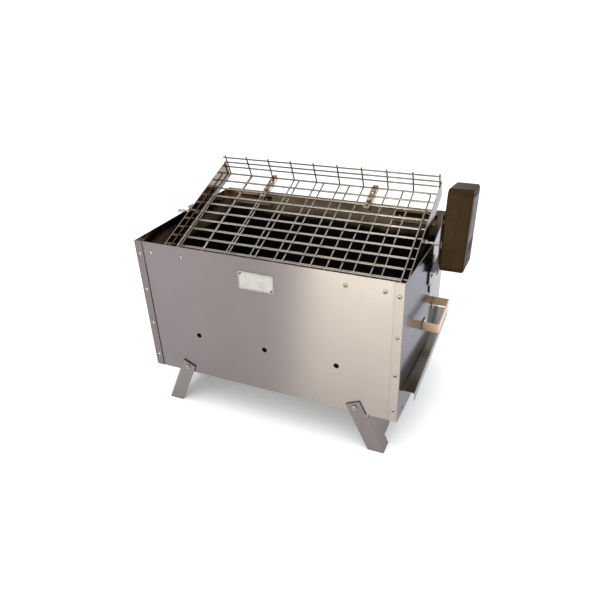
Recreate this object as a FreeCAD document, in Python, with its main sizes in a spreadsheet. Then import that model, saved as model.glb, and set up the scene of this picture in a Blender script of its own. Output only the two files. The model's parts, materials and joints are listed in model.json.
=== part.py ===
"""Folding charcoal spit roaster: a riveted sheet-steel firebox on two folding leg frames, with a slide-out
charcoal tray, a hinged wire basket on spit stubs and a battery gear motor that pulls off the spit.

The sizes below are in millimetres. The firebox frame has its origin under the middle of the firebox, at
the level of its bottom edge, with X along the firebox towards the motor, Y to the back and Z up. Every
sub-part is then moved so that the finished part stands on Z = 0, centred in X and Y.
"""
import FreeCAD, Part
import math
import os
import sys
from types import SimpleNamespace

import Sketcher
from FreeCAD import Placement, Rotation, Vector

sys.path.append(os.path.join(FreeCAD.getHomePath(), "Mod", "PartDesign"))
from fcgear import fcgear, involute

SIZES = [
    # firebox
    ("box_length", 496.0, "outside length over the end panels at their corners"),
    ("box_depth", 334.0, "outside depth over the front and back panels"),
    ("box_height", 267.0, "height of the side walls"),
    ("sheet_gauge", 1.2, "thickness of the firebox sheets"),
    ("left_crease", 4.0, "how far the left end panel is creased outwards at its middle"),
    ("right_crease", 8.0, "the same on the right end panel"),
    ("fold_radius", 1.0, "rounded outside of the folds in thin sheet"),
    ("strip_fold_radius", 1.8, "rounded outside of the folds in the handle strip"),
    ("corner_flange", 16.0, "width of the end panels' flanges over the front and back"),
    ("vent_radius", 5.0, "air holes low in the front and back panels"),
    ("rivet_hole_radius", 1.7, "clearance holes for the rivets"),
    ("floor_flange", 12.0, "upturned ends of the floor panel"),
    # legs
    ("ground_clearance", 77.0, "firebox bottom edge above the ground"),
    ("leg_gauge", 1.5, "thickness of the leg sheets"),
    ("leg_width", 28.0, "width of the leg strips"),
    ("leg_splay", 25.0, "lean of the open legs, in degrees"),
    ("leg_bolt_x", 172.0, "leg pivots from the middle"),
    ("leg_bolt_height", 11.5, "leg pivots above the firebox bottom edge"),
    ("leg_above_bolt", 10.0, "strip above the pivot"),
    ("leg_hole_radius", 3.05, "running fit on the pivot bolts"),
    ("bolt_radius", 3.0, "pivot bolt shank"),
    ("bolt_hole_radius", 3.2, "panel holes for the pivot bolts"),
    ("foot_length", 30.0, "length of each foot along the web's lower edge"),
    ("foot_height", 18.0, "cut-out between the feet"),
    # charcoal tray
    ("tray_height", 57.5, "underside of the tray above the firebox bottom edge"),
    ("tray_width", 306.0, "tray across the firebox"),
    ("tray_lip", 16.0, "outer lip, turned down"),
    ("tray_stop", 12.0, "inner edge, turned up as the end stop"),
    ("slot_gap", 1.0, "room above and below the tray in its slot"),
    # handles and bracket
    ("handle_height", 17.0, "width of the handle strip"),
    ("handle_gauge", 2.0, "thickness of the handle strip"),
    ("handle_span", 100.0, "between the handle legs"),
    ("handle_reach", 30.0, "handle bar from the panel"),
    ("bracket_gauge", 1.5, "motor bracket sheet"),
    ("bracket_width", 75.0, "motor bracket across"),
    ("plate_gauge", 0.8, "information plate"),
    ("plate_corner", 2.0, "rounded corners of the information plate"),
    # spit and basket
    ("spit_height", 265.0, "spit axis above the firebox bottom edge"),
    ("spit_radius", 3.0, "spit stubs"),
    ("notch_radius", 3.4, "spit notches in the end panels"),
    ("basket_tilt", 22.0, "lean of the basket at rest, in degrees"),
    ("wire_radius", 1.5, "basket and lid wires"),
    ("mesh_pitch_long", 50.5, "basket mesh along the spit"),
    ("mesh_pitch_cross", 25.0, "basket mesh across the spit"),
    ("basket_drop", 5.5, "tray wires under the spit axis"),
    ("basket_plate_gauge", 1.5, "end plates of the basket"),
    ("latch_gauge", 1.0, "latch channel sheet"),
    ("latch_length", 68.0, "latch channel"),
    ("stub_hole_radius", 3.1, "end plate holes for the spit stubs"),
    # motor
    ("motor_width", 98.0, "housing across"),
    ("motor_height", 140.0, "housing height"),
    ("shell_depth", 20.35, "one housing shell, leaving a fine seam between the two"),
    ("shell_wall", 2.5, "housing wall"),
    ("shell_corner", 11.0, "rounded corners of the housing"),
    ("shell_edge", 4.0, "rounded edges of the housing faces"),
    ("cavity_depth", 17.8, "hollow of one shell"),
    ("motor_tilt", 9.0, "lean of the housing, in degrees"),
    ("label_recess", 0.6, "depth of the label recess"),
    ("label_gauge", 0.5, "label panel"),
    ("mount_gauge", 1.5, "motor mounting plate"),
    ("spacer_radius", 4.0, "spacers between mounting plate and housing"),
    ("gear_module", 1.0, "module of the gear train"),
]
size = SimpleNamespace(**{alias: value for alias, value, meaning in SIZES})

GEAR_TEETH = 32
PINION_TEETH = 16
GEAR_BACKLASH = 0.2          # extra centre distance

# places in the firebox frame
CORNER_RIVET_HEIGHTS = [24.0, 97.0, 170.0, 243.0]
SUPPORT_RIVET_X = [153.0, 217.0]
SUPPORT_RIVET_HEIGHT = 247.0
VENT_X = [-137.0, 0.0, 137.0]
VENT_HEIGHT = 90.0
FLOOR_RIVET_Y = [-134.0, -45.0, 45.0, 134.0]
FLOOR_RIVET_HEIGHT = 6.5
PLATE_BOX = (-39.0, 208.5, 66.0, 33.0)            # left, bottom, width, height on the front panel
PLATE_RIVETS = [(-35.0, 237.5), (23.0, 212.5)]
HANDLE_HEIGHT_MIDDLE = 122.0
HANDLE_MIDDLE_Y = 10.0
BRACKET_MIDDLE_Y = 12.5
BRACKET_SHELF_HEIGHT = 222.5
BRACKET_LOW = 196.0
BRACKET_END_X = 266.0
BRACKET_TAB = (26.0, 184.0)                       # width, and height of the middle of its round end
BRACKET_SCREWS = [(-8.0, 208.0), (33.0, 208.0)]
TRAY_LEFT_X = -238.0
TRAY_RIGHT_X = 271.0
LEFT_PLATE_X = -223.0                             # inner faces of the basket's end plates
RIGHT_PLATE_X = 238.0
FIRST_CROSS_WIRE_X = -219.0
CROSS_WIRES = 10
LONG_WIRES = 12
WALL_WIRES = [18.5, 30.0, 41.5]                   # above the tray wires
BACK_WALL_TOP = 44.0
FRONT_WALL_TOPS = [50.5, 45.5, 51.5, 45.0, 46.5, 51.0, 45.5, 49.5, 46.0, 47.5]
LID_LEFT_X = -216.0
LID_RIGHT_X = 222.0
LID_BACK_V = 129.0
LID_LONG_WIRES = 11
LID_CROSS_WIRES = 9
LID_HINGE_WIRES = [2, 4, 6]
LATCH_CROSS_WIRES = [2, 6]
LATCH_TRAVEL = 12.0
LATCH_FRONT_V = 66.0
MOTOR_X = 271.5
MOTOR_MIDDLE = (27.0, 291.0)                      # Y and Z of the housing's middle
LABEL = (6.0, 17.0, 66.0, 76.0)                   # middle and size in the housing's own Y and Z
SWITCH = (6.0, -35.0)
SWITCH_STANDOFF = 1.0
MOUNT_STANDOFF = 5.0                              # mounting plate's inner face before the housing
MOUNT_BOX = (-15.0, 214.0, 75.0, 106.0)           # left, bottom, width and height of the mounting plate
SPACERS = [(-2.0, 308.0), (50.0, 308.0), (50.0, 240.0), (36.0, 234.0)]
HOUSING_SCREWS = [(-41.0, -62.0), (41.0, -62.0), (41.0, 62.0), (-41.0, 62.0)]

# gaps between separate pieces that touch in the real thing
HAIR_GAP = 0.02
SHEET_GAP = 0.1
LEG_GAP = 0.3

SUPPORT_SPANS = [(-230.0, -140.0), (140.0, 230.0)]
SUPPORT_LOW = 239.0
SUPPORT_HIGH = 257.0
SUPPORT_SHELF_HEIGHT = 240.2
SUPPORT_REACH = 14.0
RAIL_SPAN = (-236.0, 242.0)
RAIL_DEPTH = 14.0
RAIL_REACH = 24.0

HALF_LENGTH = size.box_length / 2
HALF_DEPTH = size.box_depth / 2
GAUGE = size.sheet_gauge
WIRE_STEP = 2 * size.wire_radius + 0.05           # welded wires, centre to centre
LID_CROSS_W = 3.4                                 # lid cross wires over the tray wires
LID_LONG_W = LID_CROSS_W + WIRE_STEP
HINGE_V = -(LONG_WIRES - 1) / 2 * size.mesh_pitch_cross

doc = FreeCAD.newDocument("spit_roaster")
sub_parts = []


# ---------------------------------------------------------------- document helpers

def write_sheet():
    sheet = doc.addObject("Spreadsheet::Sheet", "Sizes")
    for row, (alias, value, meaning) in enumerate(SIZES, start=1):
        sheet.set("A%d" % row, alias)
        sheet.set("B%d" % row, str(value))
        sheet.setAlias("B%d" % row, alias)
        sheet.set("C%d" % row, meaning)
    doc.recompute()


def bind(item, prop, cell):
    item.setExpression(prop, "Sizes." + cell)


def keep(item, label, position=Vector(), rotation=Rotation()):
    """Names a sub-part and puts it in its place, given in the firebox frame."""
    item.Label = label
    item.Placement = Placement(ORIGIN_SHIFT + position, rotation)
    sub_parts.append(item)
    return item


def new_body(name):
    return doc.addObject("PartDesign::Body", name)


def new_sketch(body, role, offset=0.0):
    sketch = body.newObject("Sketcher::SketchObject", body.Name + "_sketch")
    planes = [f for f in body.Origin.OriginFeatures if f.Role == role]
    sketch.AttachmentSupport = (planes[0], [""])
    sketch.MapMode = "FlatFace"
    sketch.AttachmentOffset = Placement(Vector(0, 0, offset), Rotation())
    return sketch


def add_outline(sketch, points):
    """A closed outline of straight lines."""
    first = sketch.GeometryCount
    count = len(points)
    for i, (x, y) in enumerate(points):
        end = points[(i + 1) % count]
        sketch.addGeometry(Part.LineSegment(Vector(x, y, 0), Vector(end[0], end[1], 0)), False)
    for i in range(count):
        after = first + (i + 1) % count
        sketch.addConstraint(Sketcher.Constraint("Coincident", first + i, 2, after, 1))


def add_rectangle(sketch, left, bottom, width, height, width_cell=None, height_cell=None):
    first = sketch.GeometryCount
    right = left + width
    top = bottom + height
    add_outline(sketch, [(left, bottom), (right, bottom), (right, top), (left, top)])
    for side in (0, 2):
        sketch.addConstraint(Sketcher.Constraint("Horizontal", first + side))
        sketch.addConstraint(Sketcher.Constraint("Vertical", first + side + 1))
    across = sketch.addConstraint(Sketcher.Constraint("DistanceX", first, 1, first, 2, width))
    upward = sketch.addConstraint(Sketcher.Constraint("DistanceY", first + 1, 1, first + 1, 2, height))
    sketch.addConstraint(Sketcher.Constraint("DistanceX", -1, 1, first, 1, left))
    sketch.addConstraint(Sketcher.Constraint("DistanceY", -1, 1, first, 1, bottom))
    if width_cell:
        bind(sketch, "Constraints[%d]" % across, width_cell)
    if height_cell:
        bind(sketch, "Constraints[%d]" % upward, height_cell)


def add_round_rectangle(sketch, middle_x, middle_y, width, height, radius):
    """Four lines joined by four tangent arcs."""
    first = sketch.GeometryCount
    dx = width / 2 - radius
    dy = height / 2 - radius
    corners = [(dx, -dy), (dx, dy), (-dx, dy), (-dx, -dy)]
    ends = []
    for quarter, (cx, cy) in enumerate(corners):
        start = -math.pi / 2 + quarter * math.pi / 2
        centre = Vector(middle_x + cx, middle_y + cy, 0)
        circle = Part.Circle(centre, Vector(0, 0, 1), radius)
        arc = Part.ArcOfCircle(circle, start, start + math.pi / 2)
        sketch.addGeometry(arc, False)
        ends.append((arc.StartPoint, arc.EndPoint))
    for quarter in range(4):
        line = Part.LineSegment(ends[quarter][1], ends[(quarter + 1) % 4][0])
        sketch.addGeometry(line, False)
        sketch.addConstraint(Sketcher.Constraint("Coincident", first + 4 + quarter, 1, first + quarter, 2))
        after = first + (quarter + 1) % 4
        sketch.addConstraint(Sketcher.Constraint("Coincident", first + 4 + quarter, 2, after, 1))


def add_circles(sketch, centres, radius, cell=None):
    for x, y in centres:
        index = sketch.addGeometry(Part.Circle(Vector(x, y, 0), Vector(0, 0, 1), radius), False)
        constraint = sketch.addConstraint(Sketcher.Constraint("Radius", index, radius))
        if cell:
            bind(sketch, "Constraints[%d]" % constraint, cell)


def pad(body, sketch, cell=None, length=None, symmetric=False, reverse=False):
    feature = body.newObject("PartDesign::Pad", body.Name + "_pad")
    feature.Profile = sketch
    if cell:
        bind(feature, "Length", cell)
    else:
        feature.Length = length
    if symmetric:
        feature.SideType = "Symmetric"
    feature.Reversed = reverse
    doc.recompute()
    return feature


def pocket(body, sketch, length=None, cell=None, reverse=False):
    """Cuts through everything, or to a depth, and makes sure that it cut something."""
    before = body.Shape.Volume
    feature = body.newObject("PartDesign::Pocket", body.Name + "_pocket")
    feature.Profile = sketch
    if length is None and cell is None:
        feature.Type = "ThroughAll"
        feature.SideType = "Symmetric"
    else:
        feature.Type = "Length"
        feature.Reversed = reverse
        if cell:
            bind(feature, "Length", cell)
        else:
            feature.Length = length
    doc.recompute()
    if not body.Shape.Volume < before - 0.01:
        raise RuntimeError("a pocket in %s cuts nothing" % body.Name)
    return feature


def fillet(body, chosen, cell):
    """Rounds the edges of the body's tip that the test chooses."""
    base = body.Tip
    names = ["Edge%d" % (i + 1) for i, edge in enumerate(base.Shape.Edges) if chosen(edge)]
    if not names:
        raise RuntimeError("no edge of %s to round" % body.Name)
    feature = body.newObject("PartDesign::Fillet", body.Name + "_fillet")
    feature.Base = (base, names)
    bind(feature, "Radius", cell)
    doc.recompute()
    return feature


def upright_at(x, y):
    """Chooses the edges parallel to Z that stand at about the given distances from the axes."""
    near = 0.3

    def chosen(edge):
        box = edge.BoundBox
        straight = box.XLength < 0.01 and box.YLength < 0.01
        return straight and abs(abs(box.XMin) - x) < near and abs(abs(box.YMin) - y) < near

    return chosen


def shape_feature(label, shapes, position=Vector(), rotation=Rotation()):
    """A sub-part whose solids come from Part's own functions."""
    feature = doc.addObject("Part::Feature", label)
    feature.Shape = Part.makeCompound(shapes)
    return keep(feature, label, position, rotation)


def cylinder_group(label, spans, cell, position=Vector(), rotation=Rotation()):
    """A sub-part of straight round bars, one for each pair of end points."""
    bars = []
    for number, (start, end) in enumerate(spans):
        bar = doc.addObject("Part::Cylinder", "%s_%d" % (label, number))
        bind(bar, "Radius", cell)
        bar.Height = (end - start).Length
        bar.Placement = Placement(start, Rotation(Vector(0, 0, 1), end - start))
        bars.append(bar)
    group = doc.addObject("Part::Compound", label)
    group.Links = bars
    return keep(group, label, position, rotation)


# ---------------------------------------------------------------- shape helpers

def folded_strip(path, gauge):
    """The closed outline of a thin strip folded along a path of straight runs, with mitred folds."""
    count = len(path)
    left = []
    right = []
    for i in range(count):
        runs = []
        if i > 0:
            runs.append((path[i][0] - path[i - 1][0], path[i][1] - path[i - 1][1]))
        if i < count - 1:
            runs.append((path[i + 1][0] - path[i][0], path[i + 1][1] - path[i][1]))
        normals = []
        for dx, dy in runs:
            length = math.hypot(dx, dy)
            normals.append((-dy / length, dx / length))
        nx = sum(n[0] for n in normals)
        ny = sum(n[1] for n in normals)
        scale = gauge / 2 * len(normals) / (nx * nx + ny * ny)
        left.append((path[i][0] + nx * scale, path[i][1] + ny * scale))
        right.append((path[i][0] - nx * scale, path[i][1] - ny * scale))
    return left + right[::-1]


def prism(points, direction):
    """A flat outline of 3-D points pushed along a direction."""
    wire = Part.makePolygon(points + [points[0]])
    return Part.Face(wire).extrude(direction)


def turned(shape, position, axis):
    """A copy of a shape made along +Z, moved to a place and turned along an axis."""
    copy = shape.copy()
    copy.Placement = Placement(position, Rotation(Vector(0, 0, 1), axis))
    return copy


def blind_rivet(head_radius=3.8, head_height=1.3, shank_radius=1.6, grip=4.0, tail_radius=2.6):
    """A set blind rivet along +Z: domed head with the mandrel's dimple, shank, and swollen tail."""
    dimple = 1.55
    bottom = head_height - 1.1
    dome = Part.Arc(Vector(head_radius, 0, 0.25), Vector(head_radius * 0.68, 0, head_height * 0.82),
                    Vector(dimple, 0, head_height)).toShape()
    outline = [(dimple, head_height), (dimple, bottom), (0, bottom), (0, -grip - 2.2),
               (tail_radius * 0.7, -grip - 2.2), (tail_radius, -grip - 1.2), (tail_radius, -grip),
               (shank_radius, -grip), (shank_radius, 0), (head_radius, 0), (head_radius, 0.25)]
    lines = []
    for (x0, z0), (x1, z1) in zip(outline, outline[1:]):
        lines.append(Part.makeLine(Vector(x0, 0, z0), Vector(x1, 0, z1)))
    face = Part.Face(Part.Wire([dome] + lines))
    return face.revolve(Vector(), Vector(0, 0, 1), 360)


def hex_prism(across_corners, height):
    points = []
    for i in range(6):
        angle = math.radians(60 * i)
        points.append(Vector(across_corners * math.cos(angle), across_corners * math.sin(angle), 0))
    return prism(points, Vector(0, 0, height))


def pan_screw(head_radius, head_height, shank_radius, length):
    """A pan-head screw along +Z with its head above Z = 0 and a cross recess."""
    head = Part.makeCylinder(head_radius, head_height)
    rim = [edge for edge in head.Edges if abs(edge.BoundBox.ZMin - head_height) < 0.001]
    head = head.makeFillet(head_height * 0.45, rim)
    slot = head_radius * 0.28
    for width, depth in ((head_radius * 1.2, slot), (slot, head_radius * 1.2)):
        cutter = Part.makeBox(width, depth, head_height, Vector(-width / 2, -depth / 2, head_height * 0.45))
        head = head.cut(cutter)
    shank = Part.makeCylinder(shank_radius, length, Vector(0, 0, -length))
    return head.fuse(shank).removeSplitter()


def round_pipe(path_edges, start, direction, radius):
    """A round wire bent along a path."""
    profile = Part.Wire([Part.makeCircle(radius, start, direction)])
    return Part.Wire(path_edges).makePipeShell([profile], True, False)


def bent_path(points, radius):
    """Straight runs joined by tangent arcs of one radius."""
    edges = []
    start = points[0]
    for i in range(1, len(points) - 1):
        before = (points[i - 1] - points[i]).normalize()
        after = (points[i + 1] - points[i]).normalize()
        half = before.getAngle(after) / 2
        trim = radius / math.tan(half)
        entry = points[i] + before * trim
        leave = points[i] + after * trim
        middle_way = (before + after).normalize()
        middle = points[i] + middle_way * (radius / math.sin(half) - radius)
        edges.append(Part.makeLine(start, entry))
        edges.append(Part.Arc(entry, middle, leave).toShape())
        start = leave
    edges.append(Part.makeLine(start, points[-1]))
    return edges


# ---------------------------------------------------------------- firebox

def crease_at(side, y):
    """How far an end panel's outer face stands beyond its corners at a depth."""
    crease = size.right_crease if side > 0 else size.left_crease
    return crease * (1 - abs(y) / (HALF_DEPTH + GAUGE))


def end_face(side, y, z):
    """A point on an end panel's outer face, and the face's outward normal there."""
    crease = size.right_crease if side > 0 else size.left_crease
    point = Vector(side * (HALF_LENGTH + crease_at(side, y)), y, z)
    slope = crease / (HALF_DEPTH + GAUGE)
    return point, Vector(side, math.copysign(slope, y), 0).normalize()


def side_panel(label, face_y, with_plate):
    body = new_body(label)
    half = HALF_LENGTH - GAUGE - SHEET_GAP
    outline = new_sketch(body, "XZ_Plane")
    add_rectangle(outline, -half, 0, 2 * half, size.box_height, height_cell="box_height")
    pad(body, outline, "sheet_gauge")
    vents = new_sketch(body, "XZ_Plane")
    add_circles(vents, [(x, VENT_HEIGHT) for x in VENT_X], size.vent_radius, "vent_radius")
    pocket(body, vents)
    rivets = []
    for side in (-1, 1):
        for z in CORNER_RIVET_HEIGHTS:
            rivets.append((side * (HALF_LENGTH - size.corner_flange / 2), z))
        for x in SUPPORT_RIVET_X:
            rivets.append((side * x, SUPPORT_RIVET_HEIGHT))
    if with_plate:
        rivets.extend(PLATE_RIVETS)
    holes = new_sketch(body, "XZ_Plane")
    add_circles(holes, rivets, size.rivet_hole_radius, "rivet_hole_radius")
    pocket(body, holes)
    bolts = new_sketch(body, "XZ_Plane")
    add_circles(bolts, [(side * size.leg_bolt_x, size.leg_bolt_height) for side in (-1, 1)],
                size.bolt_hole_radius, "bolt_hole_radius")
    pocket(body, bolts)
    return keep(body, label, Vector(0, face_y, 0))


def end_panel(label, side):
    """A creased end wall with flanges folded over the outside of the front and back panels."""
    crease = size.right_crease if side > 0 else size.left_crease
    flange_x = side * (HALF_LENGTH - size.corner_flange)
    path = [(flange_x, -HALF_DEPTH - GAUGE / 2), (side * (HALF_LENGTH - GAUGE / 2), -HALF_DEPTH - GAUGE / 2),
            (side * (HALF_LENGTH + crease - GAUGE / 2), 0),
            (side * (HALF_LENGTH - GAUGE / 2), HALF_DEPTH + GAUGE / 2), (flange_x, HALF_DEPTH + GAUGE / 2)]
    body = new_body(label)
    outline = new_sketch(body, "XY_Plane")
    add_outline(outline, folded_strip(path, GAUGE))
    pad(body, outline, "box_height")
    fillet(body, upright_at(HALF_LENGTH, HALF_DEPTH + GAUGE), "fold_radius")

    notch = new_sketch(body, "YZ_Plane")
    add_rectangle(notch, -size.notch_radius, size.spit_height, 2 * size.notch_radius, 10.0)
    pocket(body, notch)
    notch_foot = new_sketch(body, "YZ_Plane")
    add_circles(notch_foot, [(0, size.spit_height)], size.notch_radius, "notch_radius")
    pocket(body, notch_foot)

    flange_holes = new_sketch(body, "XZ_Plane")
    rivet_x = side * (HALF_LENGTH - size.corner_flange / 2)
    add_circles(flange_holes, [(rivet_x, z) for z in CORNER_RIVET_HEIGHTS],
                size.rivet_hole_radius, "rivet_hole_radius")
    pocket(body, flange_holes)

    web_holes = new_sketch(body, "YZ_Plane")
    centres = [(y, FLOOR_RIVET_HEIGHT) for y in FLOOR_RIVET_Y] + handle_rivet_places()
    if side > 0:
        centres = centres + BRACKET_SCREWS
    else:
        centres = centres + [(KEEPER_RIVET[0], KEEPER_RIVET[1])]
    add_circles(web_holes, centres, size.rivet_hole_radius, "rivet_hole_radius")
    pocket(body, web_holes)

    if side > 0:
        slot = new_sketch(body, "YZ_Plane")
        half = size.tray_width / 2 + 2.0
        add_rectangle(slot, -half, size.tray_height - size.slot_gap, 2 * half, GAUGE + 2 * size.slot_gap)
        pocket(body, slot)
    return keep(body, label)


def floor_panel():
    """The bottom sheet, with its two ends turned up inside the end panels."""
    body = new_body("floor_panel")
    edge_y = HALF_DEPTH - GAUGE - SHEET_GAP
    left_x = -(HALF_LENGTH - GAUGE - 0.15)
    right_x = HALF_LENGTH - GAUGE - 0.15
    left_out = size.left_crease * edge_y / (HALF_DEPTH + GAUGE)
    right_out = size.right_crease * edge_y / (HALF_DEPTH + GAUGE)
    sheet = new_sketch(body, "XY_Plane")
    add_outline(sheet, [(left_x, -edge_y), (right_x, -edge_y), (right_x + right_out, 0), (right_x, edge_y),
                        (left_x, edge_y), (left_x - left_out, 0)])
    pad(body, sheet, "sheet_gauge")
    ends = new_sketch(body, "XY_Plane")
    for x, out, side in ((left_x, -left_out, -1), (right_x, right_out, 1)):
        back = side * GAUGE
        add_outline(ends, [(x, -edge_y), (x + out, 0), (x, edge_y), (x - back, edge_y), (x + out - back, 0),
                           (x - back, -edge_y)])
    pad(body, ends, "floor_flange")
    holes = new_sketch(body, "YZ_Plane")
    add_circles(holes, [(y, FLOOR_RIVET_HEIGHT) for y in FLOOR_RIVET_Y], size.rivet_hole_radius,
                "rivet_hole_radius")
    pocket(body, holes)
    return keep(body, "floor_panel")


def angle_solid(x_from, x_to, side, wall_y, low, high, shelf_z, reach):
    """An L section lying along X against a side wall: a strip on the wall and a shelf reaching inwards."""
    inner = -side
    y0 = side * wall_y
    y1 = y0 + inner * GAUGE
    y2 = y0 + inner * reach
    outline = [(y0, low), (y0, high), (y1, high), (y1, shelf_z), (y2, shelf_z), (y2, shelf_z - GAUGE),
               (y1, shelf_z - GAUGE), (y1, low)]
    points = [Vector(x_from, y, z) for y, z in outline]
    return prism(points, Vector(x_to - x_from, 0, 0))


def grate_supports():
    """Four short angles inside the rim that a flat cooking plate can lie on."""
    wall = HALF_DEPTH - GAUGE
    front = Vector(0, -HALF_DEPTH, 0)
    hole = Part.makeCylinder(size.rivet_hole_radius, size.box_depth, front, Vector(0, 1, 0))
    solids = []
    for x_from, x_to in SUPPORT_SPANS:
        for side in (-1, 1):
            solid = angle_solid(x_from, x_to, side, wall, SUPPORT_LOW, SUPPORT_HIGH, SUPPORT_SHELF_HEIGHT,
                                SUPPORT_REACH)
            for x in SUPPORT_RIVET_X:
                cutter = hole.copy()
                cutter.translate(Vector(math.copysign(x, x_from), 0, SUPPORT_RIVET_HEIGHT))
                solid = solid.cut(cutter)
            solids.append(solid)
    return shape_feature("grate_supports", solids)


def tray_rails():
    """Two angles along the side walls that carry the charcoal tray."""
    top = size.tray_height - 0.3
    rails = []
    for side in (-1, 1):
        rails.append(angle_solid(RAIL_SPAN[0], RAIL_SPAN[1], side, HALF_DEPTH - GAUGE, top - RAIL_DEPTH, top,
                                 top, RAIL_REACH))
    return shape_feature("tray_rails", rails)


def corner_rivets():
    rivet = blind_rivet(grip=2 * GAUGE + SHEET_GAP)
    solids = []
    for side in (-1, 1):
        for wall in (-1, 1):
            for z in CORNER_RIVET_HEIGHTS:
                place = Vector(side * (HALF_LENGTH - size.corner_flange / 2), wall * (HALF_DEPTH + GAUGE), z)
                solids.append(turned(rivet, place, Vector(0, wall, 0)))
    return shape_feature("corner_rivets", solids)


def support_rivets():
    rivet = blind_rivet(grip=2 * GAUGE + SHEET_GAP)
    solids = []
    for x in SUPPORT_RIVET_X:
        for side in (-1, 1):
            for wall in (-1, 1):
                place = Vector(side * x, wall * HALF_DEPTH, SUPPORT_RIVET_HEIGHT)
                solids.append(turned(rivet, place, Vector(0, wall, 0)))
    return shape_feature("support_rivets", solids)


def floor_rivets():
    rivet = blind_rivet(head_radius=3.2, grip=2 * GAUGE + 0.4)
    solids = []
    for side in (-1, 1):
        for y in FLOOR_RIVET_Y:
            point, normal = end_face(side, y, FLOOR_RIVET_HEIGHT)
            solids.append(turned(rivet, point + normal * HAIR_GAP, normal))
    return shape_feature("floor_rivets", solids)


def information_plate():
    left, bottom, width, height = PLATE_BOX
    body = new_body("information_plate")
    outline = new_sketch(body, "XZ_Plane")
    add_rectangle(outline, left, bottom, width, height)
    pad(body, outline, "plate_gauge")
    fillet(body, lambda edge: abs(edge.BoundBox.YLength - size.plate_gauge) < 0.01, "plate_corner")
    holes = new_sketch(body, "XZ_Plane")
    add_circles(holes, PLATE_RIVETS, size.rivet_hole_radius, "rivet_hole_radius")
    pocket(body, holes)
    return keep(body, "information_plate", Vector(0, -HALF_DEPTH, 0))


def plate_rivets():
    rivet = blind_rivet(head_radius=2.6, head_height=1.0, grip=size.plate_gauge + GAUGE + 0.1)
    places = [Vector(x, -HALF_DEPTH - size.plate_gauge, z) for x, z in PLATE_RIVETS]
    return shape_feature("plate_rivets", [turned(rivet, place, Vector(0, -1, 0)) for place in places])


# ---------------------------------------------------------------- handles, bracket and keeper

FOOT_TAB = 17.0
KEEPER_RIVET = (22.0, 250.0)


def handle_rivet_places():
    """Depth and height of the two rivets of a handle, one in each foot."""
    reach = size.handle_span / 2 - FOOT_TAB / 2 - 1.0
    return [(HANDLE_MIDDLE_Y - reach, HANDLE_HEIGHT_MIDDLE), (HANDLE_MIDDLE_Y + reach, HANDLE_HEIGHT_MIDDLE)]


def handle(label, side):
    """A strip bent to a shallow U, with both feet turned inwards along the end panel."""
    skin = size.handle_gauge / 2 + 0.03
    near = HANDLE_MIDDLE_Y - size.handle_span / 2
    far = HANDLE_MIDDLE_Y + size.handle_span / 2
    bar_x = side * (HALF_LENGTH + crease_at(side, far) + size.handle_reach)

    def foot(y):
        return (side * (HALF_LENGTH + crease_at(side, y) + skin), y)

    path = [foot(near + FOOT_TAB), foot(near), (bar_x, near), (bar_x, far), foot(far), foot(far - FOOT_TAB)]
    body = new_body(label)
    outline = new_sketch(body, "XY_Plane")
    add_outline(outline, folded_strip(path, size.handle_gauge))
    pad(body, outline, "handle_height", symmetric=True)
    outer = abs(bar_x) + size.handle_gauge / 2

    def bar_corner(edge):
        box = edge.BoundBox
        return abs(box.ZLength - size.handle_height) < 0.01 and abs(abs(box.XMin) - outer) < 0.05

    fillet(body, bar_corner, "strip_fold_radius")
    holes = new_sketch(body, "YZ_Plane")
    centres = [(y, 0) for y, z in handle_rivet_places()]
    add_circles(holes, centres, size.rivet_hole_radius, "rivet_hole_radius")
    body_before = body.Shape.Volume
    feature = body.newObject("PartDesign::Pocket", label + "_foot_holes")
    feature.Profile = holes
    feature.Type = "Length"
    feature.Length = HALF_LENGTH + size.handle_reach / 2
    feature.Reversed = side > 0
    doc.recompute()
    if not body.Shape.Volume < body_before - 0.01:
        raise RuntimeError("the foot holes miss the handle")
    return keep(body, label, Vector(0, 0, HANDLE_HEIGHT_MIDDLE))


def handle_rivets():
    rivet = blind_rivet(head_radius=3.6, grip=size.handle_gauge + GAUGE + 0.3)
    solids = []
    for side in (-1, 1):
        for y, z in handle_rivet_places():
            point, normal = end_face(side, y, z)
            solids.append(turned(rivet, point + normal * (size.handle_gauge + 0.06), normal))
    return shape_feature("handle_rivets", solids)


def motor_bracket():
    """An angle on the right end panel, with a rounded tab under it: its shelf reaches out to the motor and
    ends in a narrow tongue."""
    gauge = size.bracket_gauge
    wall_x = HALF_LENGTH + size.right_crease + 0.2 + gauge / 2
    shelf = BRACKET_SHELF_HEIGHT
    body = new_body("motor_bracket")
    outline = new_sketch(body, "XZ_Plane")
    path = [(wall_x, BRACKET_LOW), (wall_x, shelf), (BRACKET_END_X, shelf)]
    add_outline(outline, folded_strip(path, gauge))
    pad(body, outline, "bracket_width", symmetric=True)
    tab_width, tab_end = BRACKET_TAB
    tab_middle = -BRACKET_MIDDLE_Y
    tab = new_sketch(body, "YZ_Plane", wall_x - gauge / 2)
    add_rectangle(tab, tab_middle - tab_width / 2, tab_end, tab_width, BRACKET_LOW + 2.0 - tab_end)
    pad(body, tab, "bracket_gauge")
    tab_tip = new_sketch(body, "YZ_Plane", wall_x - gauge / 2)
    add_circles(tab_tip, [(tab_middle, tab_end)], tab_width / 2)
    pad(body, tab_tip, "bracket_gauge")
    tongue = new_sketch(body, "XY_Plane", shelf - gauge / 2)
    add_rectangle(tongue, BRACKET_END_X - 6.0, -8.0, 9.5, 24.0)
    pad(body, tongue, "bracket_gauge")
    holes = new_sketch(body, "YZ_Plane")
    add_circles(holes, [(y - BRACKET_MIDDLE_Y, z) for y, z in BRACKET_SCREWS], size.rivet_hole_radius,
                "rivet_hole_radius")
    pocket(body, holes)
    return keep(body, "motor_bracket", Vector(0, BRACKET_MIDDLE_Y, 0))


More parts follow.
